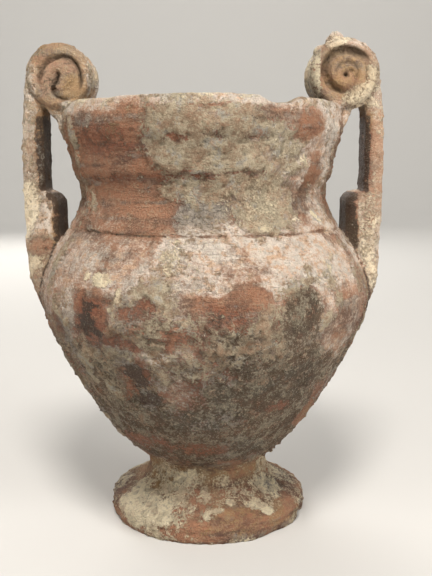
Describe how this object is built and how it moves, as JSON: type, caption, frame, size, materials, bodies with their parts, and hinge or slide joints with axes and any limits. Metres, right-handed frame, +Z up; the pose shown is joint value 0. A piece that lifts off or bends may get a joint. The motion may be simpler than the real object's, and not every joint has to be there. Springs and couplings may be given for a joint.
{
  "type": "two-handled terracotta vase",
  "caption": "small ancient krater-shaped terracotta vase: wide neck, round belly, spreading foot and two tall strap handles rolled into volutes, worn and crusted with lime",
  "frame": {"origin": "the centre of the foot's underside, on the plane that the vase stands on", "axes": "+Z is up along the vase's axis, +X runs through the right-hand handle, and the side with the chipped lip faces -Y"},
  "size_m": [0.1399, 0.129, 0.1927],
  "materials": {
    "terracotta": "matte"
  },
  "bodies": {
    "root": {"vase": "terracotta"}
  },
  "joints": []
}
